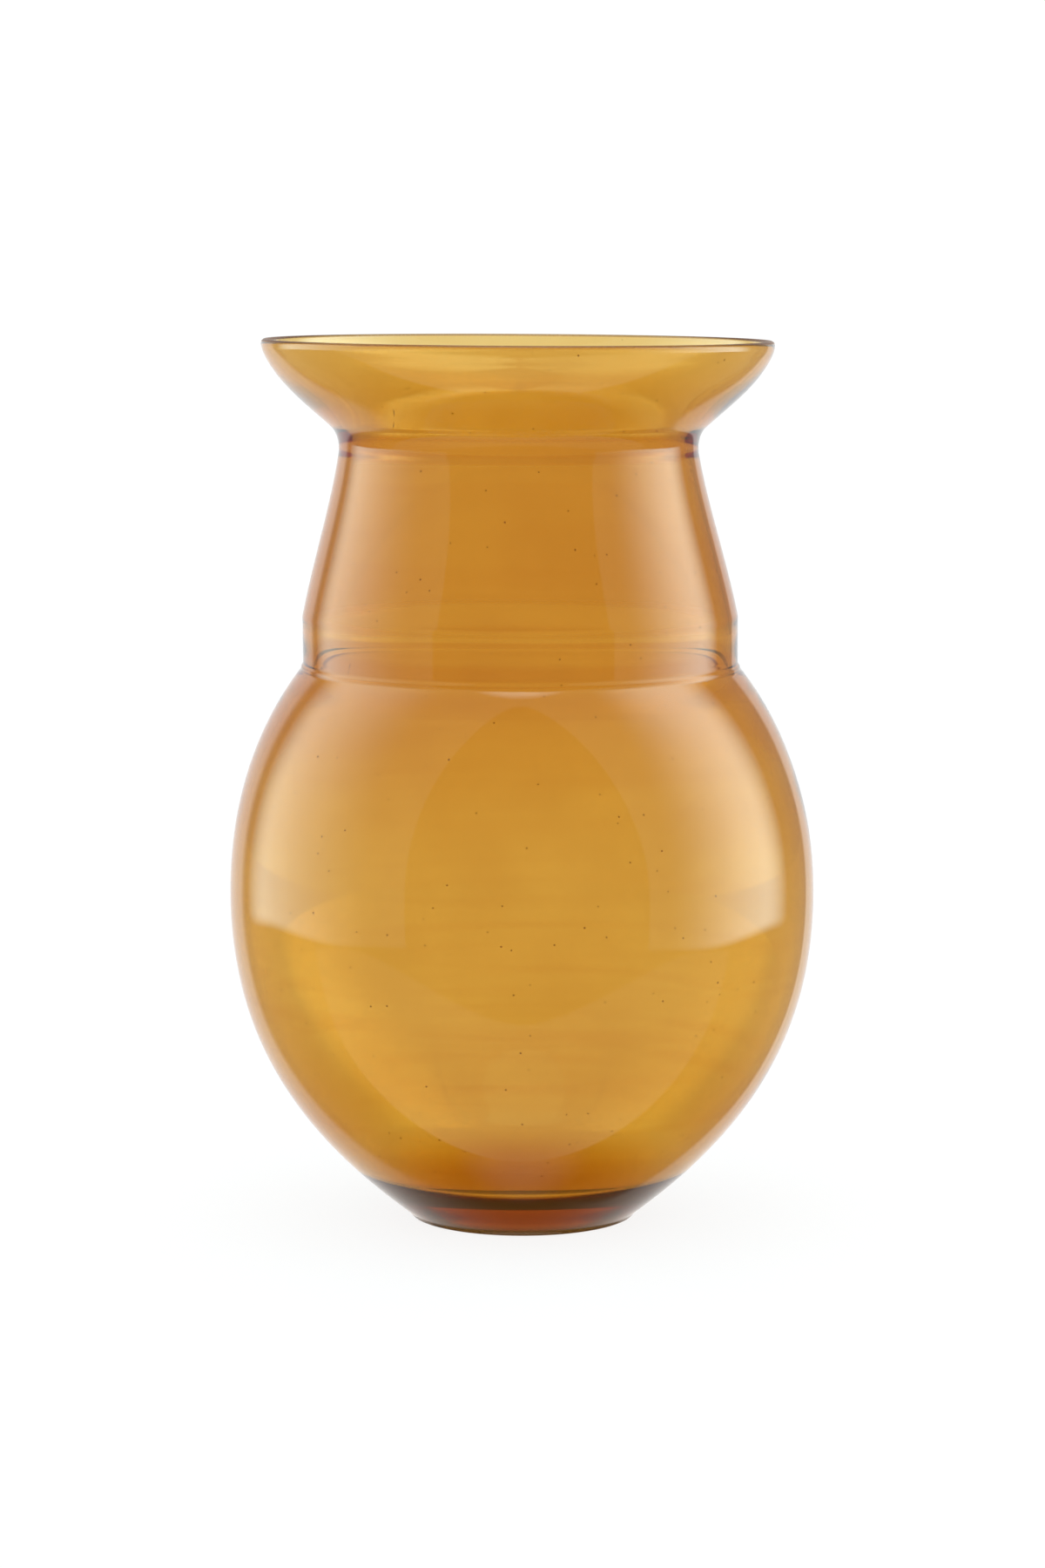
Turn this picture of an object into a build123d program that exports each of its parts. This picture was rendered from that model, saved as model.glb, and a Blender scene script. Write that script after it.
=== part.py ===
from build123d import *
from collections import namedtuple
import math
import os

# A mouth-blown glass vase: one body of glass, turned about Z. Millimetres, with the origin at the
# centre of the foot's underside and +Z up.

# A station is a place on the outside of the glass, with the outline's direction there (degrees from
# horizontal, walking up from the foot to the lip) and the thickness of the glass square to it.
Station = namedtuple("Station", "radius z angle wall")

# Driving dimensions
height = 230.0
foot_flat_radius = 29.0  # the flat that rests on the table
floor_thickness = 3.2  # at the middle
lip_radius = 66.4
lip_thickness = 2.2
band_bottom_height = 146.7
waist_height = 147.0  # behind the crease the inside is only a gentle waist

heel = Station(30.3, 1.3, 37, 0)  # the rounded edge of the foot runs out into the bowl
haunch = Station(67.8, 44.5, 65, 2.4)
belly = Station(76.5, 86.0, 90, 2.4)  # the widest part of the bowl
shoulder = Station(72.1, 116.0, 107, 2.8)
brow = Station(62.5, 137.6, 120, 3.3)
crease = Station(57.2, 145.0, 128, 3.7)  # the tooled line between bowl and neck
band_top = Station(56.7, 158.6, 101, 3.3)
throat = Station(47.0, 199.7, 100, 3.2)
neck = Station(46.7, 202.0, 90, 3.6)  # the narrowest part of the neck
root = Station(48.8, 207.7, 42, 2.8)  # where the collar leaves the neck
collar = Station(65.4, 225.5, 63, 2.2)
lip = Station(lip_radius, height - lip_thickness / 2, 90, lip_thickness)

# On the inside itself: the floor is a shallow dish that turns up into the bowl
dish = Station(23.8, 6.2, 20, 0)
sump = Station(44.5, 16.2, 47.6, 0)


def outside(station):
    return (station.radius, station.z)


def inside(station):
    """The point on the inside that lies square behind a station."""
    turn = math.radians(station.angle)
    return (
        station.radius - station.wall * math.sin(turn),
        station.z + station.wall * math.cos(turn),
    )


def bend(start, start_angle, end, end_angle):
    """A smooth stretch of outline, as near a round arc as its two ends and their directions allow."""
    half_turn = math.radians(end_angle - start_angle) / 2
    pull = math.dist(start, end) / (3 * math.cos(half_turn / 2) ** 2)
    leaving = math.radians(start_angle)
    arriving = math.radians(end_angle)
    first = (start[0] + pull * math.cos(leaving), start[1] + pull * math.sin(leaving))
    second = (end[0] - pull * math.cos(arriving), end[1] - pull * math.sin(arriving))
    return Bezier(start, first, second, end)


def bends_outside(*stations):
    """The outside of the glass from the first station up to the last."""
    for low, high in zip(stations, stations[1:]):
        bend(outside(low), low.angle, outside(high), high.angle)


def bends_inside(*stations):
    """The inside of the glass from the first station down to the last."""
    for high, low in zip(stations, stations[1:]):
        bend(inside(high), high.angle - 180, inside(low), low.angle - 180)


foot = (foot_flat_radius, 0)
band_bottom = (band_top.radius, band_bottom_height)
waist = (crease.radius - crease.wall, waist_height)
floor = (0, floor_thickness)
lip_crown = (lip_radius - lip_thickness / 2, height)

with BuildPart() as glass_vessel:
    with BuildSketch(Plane.XZ):
        with BuildLine():
            Line((0, 0), foot)
            bend(foot, 0, outside(heel), heel.angle)
            bends_outside(heel, haunch, belly, shoulder, crease)
            bend(outside(crease), 60, band_bottom, 90)
            Line(band_bottom, outside(band_top))
            bends_outside(band_top, throat, neck, root, collar, lip)
            ThreePointArc(outside(lip), lip_crown, inside(lip))
            bends_inside(lip, collar, root, neck, throat, band_top)
            bend(inside(band_top), band_top.angle - 180, waist, -90)
            bend(waist, -90, inside(brow), brow.angle - 180)
            bends_inside(brow, shoulder, belly, haunch, sump, dish)
            bend(inside(dish), dish.angle - 180, floor, -180)
            Line(floor, (0, 0))
        make_face()
    revolve(axis=Axis.Z)

glass_vessel.part.label = "glass_vessel"

os.makedirs("parts", exist_ok=True)
export_step(glass_vessel.part, "parts/glass_vessel.step")
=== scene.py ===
import math
from collections import namedtuple

import bpy
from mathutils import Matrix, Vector, noise


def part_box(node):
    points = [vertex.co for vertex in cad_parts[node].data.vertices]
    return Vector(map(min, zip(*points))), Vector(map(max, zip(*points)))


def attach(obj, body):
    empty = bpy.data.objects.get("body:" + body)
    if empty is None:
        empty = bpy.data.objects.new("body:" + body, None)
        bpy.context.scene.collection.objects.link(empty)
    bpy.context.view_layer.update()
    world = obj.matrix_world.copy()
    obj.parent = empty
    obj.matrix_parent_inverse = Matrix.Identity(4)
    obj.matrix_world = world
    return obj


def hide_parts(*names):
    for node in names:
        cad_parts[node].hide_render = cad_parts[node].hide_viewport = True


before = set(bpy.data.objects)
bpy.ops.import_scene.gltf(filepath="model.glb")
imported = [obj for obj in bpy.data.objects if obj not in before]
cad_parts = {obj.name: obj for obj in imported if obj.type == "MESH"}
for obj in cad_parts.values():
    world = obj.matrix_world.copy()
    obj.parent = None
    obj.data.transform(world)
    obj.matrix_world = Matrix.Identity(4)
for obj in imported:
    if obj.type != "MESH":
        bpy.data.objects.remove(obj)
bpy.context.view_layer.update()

# Everything is in metres, in the CAD model's frame: the vase stands on z = 0, about the Z axis.
MM = 0.001
foot_corner, top_corner = (Vector(corner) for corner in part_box("glass_vessel"))
height = top_corner.z - foot_corner.z
belly_radius = (top_corner.x - foot_corner.x) / 2

# ---------------------------------------------------------------------------
# The outline of the glass, the same as the CAD model's

# A station is a place on the outside of the glass, with the outline's direction there (degrees from
# horizontal, walking up from the foot to the lip) and the thickness of the glass square to it.
Station = namedtuple("Station", "radius z angle wall")

FOOT_FLAT_RADIUS = 29.0 * MM
FLOOR_THICKNESS = 3.2 * MM  # at the middle
LIP_RADIUS = 66.4 * MM
LIP_THICKNESS = 2.2 * MM
BAND_BOTTOM_HEIGHT = 146.7 * MM
WAIST_HEIGHT = 147.0 * MM  # behind the crease the inside is only a gentle waist
LEAVES_CREASE = 60  # the outline's direction just above the crease, in degrees

HEEL = Station(30.3 * MM, 1.3 * MM, 37, 0)
HAUNCH = Station(67.8 * MM, 44.5 * MM, 65, 2.4 * MM)
BELLY = Station(belly_radius, 86.0 * MM, 90, 2.4 * MM)
SHOULDER = Station(72.1 * MM, 116.0 * MM, 107, 2.8 * MM)
BROW = Station(62.5 * MM, 137.6 * MM, 120, 3.3 * MM)
CREASE = Station(57.2 * MM, 145.0 * MM, 128, 3.7 * MM)
BAND_TOP = Station(56.7 * MM, 158.6 * MM, 101, 3.3 * MM)
THROAT = Station(47.0 * MM, 199.7 * MM, 100, 3.2 * MM)
NECK = Station(46.7 * MM, 202.0 * MM, 90, 3.6 * MM)
ROOT = Station(48.8 * MM, 207.7 * MM, 42, 2.8 * MM)
COLLAR = Station(65.4 * MM, 225.5 * MM, 63, 2.2 * MM)
LIP = Station(LIP_RADIUS, height - LIP_THICKNESS / 2, 90, LIP_THICKNESS)

# On the inside itself: the floor is a shallow dish that turns up into the bowl
DISH = Station(23.8 * MM, 6.2 * MM, 20, 0)
SUMP = Station(44.5 * MM, 16.2 * MM, 47.6, 0)

STEP = 0.9 * MM  # the spacing of the rings that the glass is turned from
TURNS = 240  # faces round each ring
CORNER_RINGS = 6  # the fewest rings at the foot's edge and at the crease
LIP_RINGS = 8  # the fewest rings on each side of the lip's crown


def heading(angle):
    """The unit step in a direction given in degrees from horizontal."""
    turn = math.radians(angle)
    return Vector((math.cos(turn), math.sin(turn)))


def outside(station):
    return Vector((station.radius, station.z))


def inside(station):
    """The point on the inside that lies square behind a station."""
    return outside(station) + station.wall * heading(station.angle + 90)


def bend(start, start_angle, end, end_angle, fewest=4):
    """Points of a smooth stretch from start up to, but not including, end."""
    half_turn = math.radians(end_angle - start_angle) / 2
    span = (end - start).length
    pull = span / (3 * math.cos(half_turn / 2) ** 2)
    first = start + pull * heading(start_angle)
    second = end - pull * heading(end_angle)
    count = max(fewest, round(span / STEP))
    points = []
    for i in range(count):
        t = i / count
        s = 1 - t
        points.append(s**3 * start + 3 * s * s * t * first + 3 * s * t * t * second + t**3 * end)
    return points


def bends_outside(*stations):
    """The outside of the glass from the first station up to the last."""
    points = []
    for low, high in zip(stations, stations[1:]):
        points += bend(outside(low), low.angle, outside(high), high.angle)
    return points


def bends_inside(*stations):
    """The inside of the glass from the first station down to the last."""
    points = []
    for high, low in zip(stations, stations[1:]):
        points += bend(inside(high), high.angle - 180, inside(low), low.angle - 180)
    return points


def lip_crown():
    return Vector((LIP_RADIUS - LIP_THICKNESS / 2, height))


def outer_outline():
    """From the foot's flat up to the lip's crown, without the point on the axis."""
    foot = Vector((FOOT_FLAT_RADIUS, 0))
    band_bottom = Vector((BAND_TOP.radius, BAND_BOTTOM_HEIGHT))
    points = bend(Vector((0, 0)), 0, foot, 0)[1:]
    points += bend(foot, 0, outside(HEEL), HEEL.angle, CORNER_RINGS)
    points += bends_outside(HEEL, HAUNCH, BELLY, SHOULDER, CREASE)
    points += bend(outside(CREASE), LEAVES_CREASE, band_bottom, 90, CORNER_RINGS)
    points += bend(band_bottom, 90, outside(BAND_TOP), 90)
    points += bends_outside(BAND_TOP, THROAT, NECK, ROOT, COLLAR, LIP)
    points += bend(outside(LIP), 90, lip_crown(), 180, LIP_RINGS)
    return points


def inner_outline():
    """From the lip's crown down to the floor, without the point on the axis."""
    waist = Vector((CREASE.radius - CREASE.wall, WAIST_HEIGHT))
    floor = Vector((0, FLOOR_THICKNESS))
    points = bend(lip_crown(), 180, inside(LIP), 270, LIP_RINGS)
    points += bends_inside(LIP, COLLAR, ROOT, NECK, THROAT, BAND_TOP)
    points += bend(inside(BAND_TOP), BAND_TOP.angle - 180, waist, -90)
    points += bend(waist, -90, inside(BROW), BROW.angle - 180)
    points += bends_inside(BROW, SHOULDER, BELLY, HAUNCH, SUMP, DISH)
    points += bend(inside(DISH), DISH.angle - 180, floor, -180)
    return points


# ---------------------------------------------------------------------------
# The glass

LEAN = 1.2 * MM  # how far the mouth stands off the foot's axis, towards -X
RIM_TILT = math.radians(0.3)  # the mouth's plane dips towards +X
TILT_STARTS = 0.8  # of the height
OVAL = 0.4 * MM  # the inside is this much wider along X, and narrower along Y, than round
RIPPLE = 0.10 * MM  # hand-blown waviness of each surface
EVEN_FOOT = 20 * MM  # the oval and the ripple die away below this height

# A layer of the ripple: how many waves lie between the axis and the side, how tall a wave is, how
# strong the layer is, and how many waves the inside's pattern is shifted from the outside's
Layer = namedtuple("Layer", "waves tall strength shift")
RIPPLE_LAYERS = (Layer(0.6, 22 * MM, 1.0, 7.0), Layer(1.3, 60 * MM, 1.5, 3.0))


def ripple(out, z, is_inside):
    """How far the hand-blown surface is off the even one, as a share of RIPPLE."""
    total = 0.0
    for layer in RIPPLE_LAYERS:
        shift = layer.shift if is_inside else 0.0
        place = Vector((out.x * layer.waves, out.y * layer.waves, z / layer.tall + shift))
        total += layer.strength * noise.noise(place)
    return total


def hand_blown(point, is_inside):
    """Moves a point of the even, turned shape to where a glassblower's hands leave it."""
    up = point.z / height
    moved = point.copy()
    moved.x -= LEAN * up * up
    near_mouth = min(max((up - TILT_STARTS) / (1 - TILT_STARTS), 0.0), 1.0)
    moved.z -= math.tan(RIM_TILT) * point.x * near_mouth
    out = Vector((point.x, point.y, 0))
    if out.length > 0:
        out.normalize()
        clear_of_foot = min(point.z / EVEN_FOOT, 1.0)
        if is_inside:
            moved += out * OVAL * clear_of_foot * (out.x**2 - out.y**2)
        moved += out * RIPPLE * clear_of_foot * ripple(out, point.z, is_inside)
    return moved


def turned_mesh(name, outer, inner):
    """A closed mesh, turned from the two outlines about Z, with a point on the axis at each end."""
    rings = outer + inner
    points = [Vector((0, 0, 0))]
    for number, (radius, z) in enumerate(rings):
        is_inside = number >= len(outer)
        for turn in range(TURNS):
            angle = 2 * math.pi * turn / TURNS
            even = Vector((radius * math.cos(angle), radius * math.sin(angle), z))
            points.append(hand_blown(even, is_inside))
    points.append(hand_blown(Vector((0, 0, FLOOR_THICKNESS)), True))
    starts = [1 + ring * TURNS for ring in range(len(rings))]
    top = len(points) - 1
    faces = []
    for turn in range(TURNS):
        after = (turn + 1) % TURNS
        faces.append((0, starts[0] + after, starts[0] + turn))
        for low, high in zip(starts, starts[1:]):
            faces.append((low + turn, low + after, high + after, high + turn))
        faces.append((starts[-1] + turn, starts[-1] + after, top))
    mesh = bpy.data.meshes.new(name)
    mesh.from_pydata(points, [], faces)
    mesh.shade_smooth()
    mesh.validate()
    return mesh


# ---------------------------------------------------------------------------
# Materials


class Wiring:
    """Short names for adding nodes to a tree. A value is a constant or another node's output."""

    def __init__(self, tree):
        self.tree = tree
        tree.nodes.clear()

    def feed(self, socket, value):
        if isinstance(value, bpy.types.NodeSocket):
            self.tree.links.new(value, socket)
        else:
            socket.default_value = value

    def add(self, kind, **inputs):
        """A new node with its inputs fed by name, where _ stands for a space."""
        node = self.tree.nodes.new(kind)
        for name, value in inputs.items():
            self.feed(node.inputs[name.replace("_", " ")], value)
        return node

    def maths(self, operation, first, second=0.0):
        node = self.tree.nodes.new("ShaderNodeMath")
        node.operation = operation
        self.feed(node.inputs[0], first)
        self.feed(node.inputs[1], second)
        return node.outputs[0]

    def product(self, first, *others):
        for other in others:
            first = self.maths("MULTIPLY", first, other)
        return first

    def greatest(self, first, *others):
        for other in others:
            first = self.maths("MAXIMUM", first, other)
        return first

    def choose(self, is_second, first, second):
        """The first value where is_second is 0, the second where it is 1."""
        node = self.add("ShaderNodeMix", Factor=is_second, A=first, B=second)
        return node.outputs["Result"]

    def blend(self, amount, first, second):
        """The first colour where the amount is 0, the second where it is 1."""
        node = self.add("ShaderNodeMix", Factor=amount)
        node.data_type = "RGBA"
        colours = [socket for socket in node.inputs if socket.type == "RGBA"]
        self.feed(colours[0], first)
        self.feed(colours[1], second)
        return next(socket for socket in node.outputs if socket.type == "RGBA")

    def step(self, value, low, high, start=0.0, end=1.0):
        """Goes smoothly from start to end as value goes from low to high."""
        ends = {"From_Min": low, "From_Max": high, "To_Min": start, "To_Max": end}
        node = self.add("ShaderNodeMapRange", Value=value, **ends)
        node.interpolation_type = "SMOOTHSTEP"
        return node.outputs["Result"]


WHITE = (1, 1, 1, 1)
REFRACTIVE_INDEX = 1.5
ABSORBED_PER_METRE = (72.0, 195.0, 600.0)  # red, green, blue

CLOUD_TINT = (0.96, 0.935, 0.875, 1)
CLOUDS_PER_METRE = 38.0
STREAK_TINT = (0.95, 0.89, 0.80, 1)
STREAKS_PER_METRE = (9.0, 9.0, 260.0)  # along X, Y and Z
SEED_TINT = (0.20, 0.11, 0.06, 1)
SEED_CELLS_PER_METRE = 150.0
SEED_EDGE = (0.048, 0.032)  # where a seed's soft edge starts and ends, in cells from its middle
# Painted shade: the darker band just above the crease
FOLD_PAINTED_SHADE_TINT = (0.92, 0.83, 0.66, 1)
HAZE_TINT = (0.95, 0.45, 0.09, 1)
# Painted shade: the dark line on the lip's crown
CROWN_PAINTED_SHADE_TINT = (0.20, 0.07, 0.015, 1)
CROWN_PAINTED_SHADE_AMOUNT = 0.6  # how much of the lip's crown the dark line of painted shade covers
WAVES_PER_METRE = 60.0
WAVE_DEPTH = 0.2 * MM


def glass_tint(wiring, place, rise):
    """The uneven colour of the glass's surface, over the even one that its body has, with painted
    shade above the crease.
    """
    cloud = wiring.add(
        "ShaderNodeTexNoise", Vector=place, Scale=CLOUDS_PER_METRE, Detail=3.0, Roughness=0.5
    )
    tint = wiring.blend(wiring.step(cloud.outputs["Fac"], 0.3, 0.7), WHITE, CLOUD_TINT)
    # Fine streaks that run round the vase, strongest low in the bowl
    squashed = wiring.add("ShaderNodeMapping", Vector=place, Scale=STREAKS_PER_METRE)
    streak = wiring.add(
        "ShaderNodeTexNoise", Vector=squashed.outputs["Vector"], Scale=1.0, Detail=3.0
    )
    low = wiring.step(rise, 90 * MM, 20 * MM, 0.35, 1.0)
    streak = wiring.product(wiring.step(streak.outputs["Fac"], 0.45, 0.75), low)
    tint = wiring.blend(streak, tint, STREAK_TINT)
    # Seeds, the specks and pinhead bubbles of hand-blown glass
    cells = wiring.add("ShaderNodeTexVoronoi", Vector=place, Scale=SEED_CELLS_PER_METRE)
    tint = wiring.blend(wiring.step(cells.outputs["Distance"], *SEED_EDGE), tint, SEED_TINT)
    # Painted shade: the band just above the crease is tinted darker, where the fold shades it
    above_crease = wiring.step(rise, 145.3 * MM, 146.6 * MM)
    below_band = wiring.step(rise, 151.5 * MM, 149.0 * MM)
    return wiring.blend(wiring.product(above_crease, below_band), tint, FOLD_PAINTED_SHADE_TINT)


def amber_glass():
    material = bpy.data.materials.new("amber_glass")
    material.use_nodes = True
    wiring = Wiring(material.node_tree)
    place = wiring.add("ShaderNodeTexCoord").outputs["Object"]
    across, _, rise = wiring.add("ShaderNodeSeparateXYZ", Vector=place).outputs
    wave = wiring.add(
        "ShaderNodeTexNoise", Vector=place, Scale=WAVES_PER_METRE, Detail=2.0, Roughness=0.4
    )
    bump = wiring.add(
        "ShaderNodeBump", Strength=0.05, Distance=WAVE_DEPTH, Height=wave.outputs["Fac"]
    )
    clear = wiring.add(
        "ShaderNodeBsdfPrincipled",
        Base_Color=glass_tint(wiring, place, rise),
        Normal=bump.outputs["Normal"],
        Roughness=0.0,
        IOR=REFRACTIVE_INDEX,
        Transmission_Weight=1.0,
    )
    most = max(ABSORBED_PER_METRE)
    let_through = (*(1 - each / most for each in ABSORBED_PER_METRE), 1)
    body = wiring.add("ShaderNodeVolumeAbsorption", Color=let_through, Density=most)
    # Painted shade: a dark line painted on the rounded top of the lip
    above_dip = wiring.maths("ADD", rise, wiring.product(across, math.tan(RIM_TILT)))
    crown = wiring.step(above_dip, height - 0.8 * MM, height - 0.4 * MM)
    # A faint amber haze, which grows towards the foot; the same diffuse also carries the lip's
    # painted shade
    haze_and_crown_shade_colour = wiring.blend(crown, HAZE_TINT, CROWN_PAINTED_SHADE_TINT)
    haze = wiring.add("ShaderNodeBsdfDiffuse", Color=haze_and_crown_shade_colour)
    near_foot = wiring.step(rise, 20 * MM, 8 * MM, 0.008, 0.06)
    haze_and_crown_shade_amount = wiring.maths("ADD", near_foot, wiring.step(rise, 5 * MM, 2 * MM, 0.0, 0.05))
    haze_and_crown_shade_amount = wiring.maths("ADD", haze_and_crown_shade_amount, wiring.product(crown, CROWN_PAINTED_SHADE_AMOUNT))
    surface = wiring.add("ShaderNodeMixShader", Fac=haze_and_crown_shade_amount)
    wiring.feed(surface.inputs[1], clear.outputs["BSDF"])
    wiring.feed(surface.inputs[2], haze.outputs["BSDF"])
    wiring.add(
        "ShaderNodeOutputMaterial",
        Surface=surface.outputs["Shader"],
        Volume=body.outputs["Volume"],
    )
    return material


FLOOR_GREY = (0.15, 0.15, 0.15, 1)
FLOOR_GLOW = 0.86
FLOOR_REACH = 12.0
FLOOR_GAP = 0.1 * MM  # keeps the floor clear of the foot's underside


def floor_white():
    """A white table top lit from below, so that hardly any shadow is left on it."""
    material = bpy.data.materials.new("studio_floor")
    material.use_nodes = True
    wiring = Wiring(material.node_tree)
    top = wiring.add("ShaderNodeBsdfDiffuse", Color=FLOOR_GREY)
    glow = wiring.add("ShaderNodeEmission", Color=WHITE, Strength=FLOOR_GLOW)
    both = wiring.add("ShaderNodeAddShader")
    wiring.feed(both.inputs[0], top.outputs["BSDF"])
    wiring.feed(both.inputs[1], glow.outputs["Emission"])
    wiring.add("ShaderNodeOutputMaterial", Surface=both.outputs["Shader"])
    return material


def make_vase():
    mesh = turned_mesh("vase_glass", outer_outline(), inner_outline())
    mesh.materials.append(amber_glass())
    vase = bpy.data.objects.new("vase_glass", mesh)
    bpy.context.collection.objects.link(vase)
    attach(vase, "root")
    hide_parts("glass_vessel")


def make_floor():
    mesh = bpy.data.meshes.new("studio_floor")
    r = FLOOR_REACH
    corners = [(-r, -r, 0), (r, -r, 0), (r, r, 0), (-r, r, 0)]
    mesh.from_pydata(corners, [], [(0, 1, 2, 3)])
    mesh.materials.append(floor_white())
    floor = bpy.data.objects.new("studio_floor", mesh)
    bpy.context.collection.objects.link(floor)
    floor.location.z = foot_corner.z - FLOOR_GAP
    floor.visible_glossy = False  # the glass mirrors the table that is part of the studio's light


# ---------------------------------------------------------------------------
# Light

# Directions are in degrees: round from the camera's side, 0, to the backdrop's side, 180, and up
# from the horizon. The rest are brightnesses.
BACKDROP = 1.0
FRONT = 0.12  # the dim side of the studio, behind the camera
GAP = 0.35  # between each panel and the backdrop
OVERHEAD = 3.8
TABLE_IN_FRONT = 0.58  # as the glass mirrors it
TABLE_BEHIND = 0.45

# As seen through the glass, where the dark parts are lifted and the bright ones held down
OVERHEAD_THROUGH_GLASS = 1.1
TABLE_THROUGH_GLASS = 0.8
FRONT_THROUGH_GLASS = 0.85
MOST_THROUGH_GLASS = 1.5

TO_THE_FLOOR = 1.25  # on what scatters light, such as the floor
TO_THE_CAMERA = 1.1  # seen with nothing in between

# A tall soft panel at one side: its brightness at the near edge and where it is brightest, the
# direction round of the near edge at the horizon, and the stretches where it grows and fades
Panel = namedtuple("Panel", "at_edge brightest near_edge grows fades")
LEFT_PANEL = Panel(0.75, 3.1, 45.5, (58, 116), (118, 141))
RIGHT_PANEL = Panel(0.75, 4.4, 49.5, (56, 104), (108, 132))
ARCH_HEIGHT = 62.0  # where the panels' near edges meet, over the camera
PANEL_COLOUR = (0.78, 0.98, 1.0, 1)


def panel_light(wiring, panel, around, rise):
    """The light of one panel, brightest beyond the vase's side and faded out before the backdrop.

    The near edges of the two meet overhead in an arch round the dark that the camera stands in.
    """
    growing = wiring.step(around, *panel.grows, panel.at_edge, panel.brightest)
    across = wiring.maths("DIVIDE", around, panel.near_edge)
    upwards = wiring.maths("DIVIDE", wiring.maths("MAXIMUM", rise, 0.0), ARCH_HEIGHT)
    from_middle = wiring.maths(
        "ADD", wiring.product(across, across), wiring.product(upwards, upwards)
    )
    near_edge = wiring.step(from_middle, 0.98, 1.06)
    far_edge = wiring.step(around, *panel.fades, 1, 0)
    return wiring.product(growing, near_edge, far_edge)


def both_panels(wiring, around, rise, is_left):
    """The light of both panels, which end a little below the horizon."""
    is_right = wiring.maths("SUBTRACT", 1.0, is_left)
    left = wiring.product(panel_light(wiring, LEFT_PANEL, around, rise), is_left)
    right = wiring.product(panel_light(wiring, RIGHT_PANEL, around, rise), is_right)
    lowest = wiring.step(around, 70, 120, -13.8, -10.3)
    above_lowest = wiring.step(wiring.maths("SUBTRACT", rise, lowest), -1.0, 1.5)
    return wiring.product(wiring.maths("ADD", left, right), above_lowest)


def room_light(wiring, around, rise, is_left):
    """The light of the backdrop and of the dim front, which fades out below."""
    backdrop_left = wiring.step(around, 139, 146, GAP, BACKDROP)
    backdrop_right = wiring.step(around, 148, 152, GAP, BACKDROP)
    backdrop = wiring.choose(is_left, backdrop_right, backdrop_left)
    front = wiring.step(around, 46, 70, FRONT, GAP)
    return wiring.product(wiring.greatest(backdrop, front), wiring.step(rise, -75, -14))


def table_light(wiring, around, rise):
    """The light of the table: all that is below its edge in front, only steeply down behind."""
    edge = wiring.step(around, 0, 75, -34.0, -13.0)
    past_edge = wiring.maths("SUBTRACT", rise, edge)
    in_front = wiring.step(past_edge, 1.0, -1.5, 0.0, TABLE_IN_FRONT)
    behind = wiring.step(rise, -70, -88, 0.0, TABLE_BEHIND)
    return wiring.choose(wiring.step(around, 88, 92), in_front, behind)


def make_studio():
    """A studio round the vase: a backdrop, a tall panel on each side, one overhead, a dim front."""
    world = bpy.data.worlds.new("studio")
    bpy.context.scene.world = world
    world.use_nodes = True
    world.cycles.sampling_method = "NONE"
    wiring = Wiring(world.node_tree)
    way = wiring.add("ShaderNodeTexCoord").outputs["Generated"]
    x, y, z = wiring.add("ShaderNodeSeparateXYZ", Vector=way).outputs
    towards_camera = wiring.maths("MULTIPLY", y, -1.0)
    around = wiring.maths("ARCTAN2", wiring.maths("ABSOLUTE", x), towards_camera)
    around = wiring.maths("DEGREES", around)
    rise = wiring.maths("DEGREES", wiring.maths("ARCSINE", z))
    is_left = wiring.maths("LESS_THAN", x, 0.0)
    path = wiring.add("ShaderNodeLightPath").outputs
    is_through = wiring.maths("GREATER_THAN", path["Transmission Depth"], 0.5)
    is_unmirrored = wiring.maths("LESS_THAN", path["Glossy Depth"], 0.5)

    panels = both_panels(wiring, around, rise, is_left)
    room = room_light(wiring, around, rise, is_left)
    strength_overhead = wiring.choose(is_through, OVERHEAD, OVERHEAD_THROUGH_GLASS)
    overhead = wiring.product(wiring.step(rise, 64.5, 69), strength_overhead)
    table = wiring.choose(is_through, table_light(wiring, around, rise), TABLE_THROUGH_GLASS)
    reflected = wiring.greatest(table, room, panels, overhead)
    front = wiring.step(around, 30, 60, FRONT_THROUGH_GLASS, GAP)
    through = wiring.maths("MINIMUM", wiring.greatest(reflected, front), MOST_THROUGH_GLASS)

    # Straight through the glass, with no mirroring on the way
    light = wiring.choose(wiring.product(is_through, is_unmirrored), reflected, through)
    light = wiring.choose(path["Is Diffuse Ray"], light, TO_THE_FLOOR)
    light = wiring.choose(path["Is Camera Ray"], light, TO_THE_CAMERA)
    colour = wiring.blend(wiring.step(panels, 0.3, 1.2), WHITE, PANEL_COLOUR)
    background = wiring.add("ShaderNodeBackground", Color=colour, Strength=light)
    wiring.add("ShaderNodeOutputWorld", Surface=background.outputs["Background"])


# ---------------------------------------------------------------------------
# Camera

CAMERA_DISTANCE = 5 * height
CAMERA_HEIGHT = 1.119 * height
CAMERA_DIP = math.radians(7.1)  # how far the view looks down
LENS = 101.6  # mm, on a 36 mm long side


def make_camera():
    data = bpy.data.cameras.new("camera")
    data.lens = LENS
    data.sensor_fit = "AUTO"
    data.sensor_width = 36
    camera = bpy.data.objects.new("camera", data)
    bpy.context.collection.objects.link(camera)
    camera.location = (0, -CAMERA_DISTANCE, CAMERA_HEIGHT)
    camera.rotation_euler = (math.pi / 2 - CAMERA_DIP, 0, 0)
    bpy.context.scene.camera = camera


make_camera()
make_studio()
make_floor()
make_vase()

scene = bpy.context.scene
scene.view_settings.view_transform = "Standard"
scene.cycles.max_bounces = 24
scene.cycles.transmission_bounces = 24
scene.cycles.glossy_bounces = 12
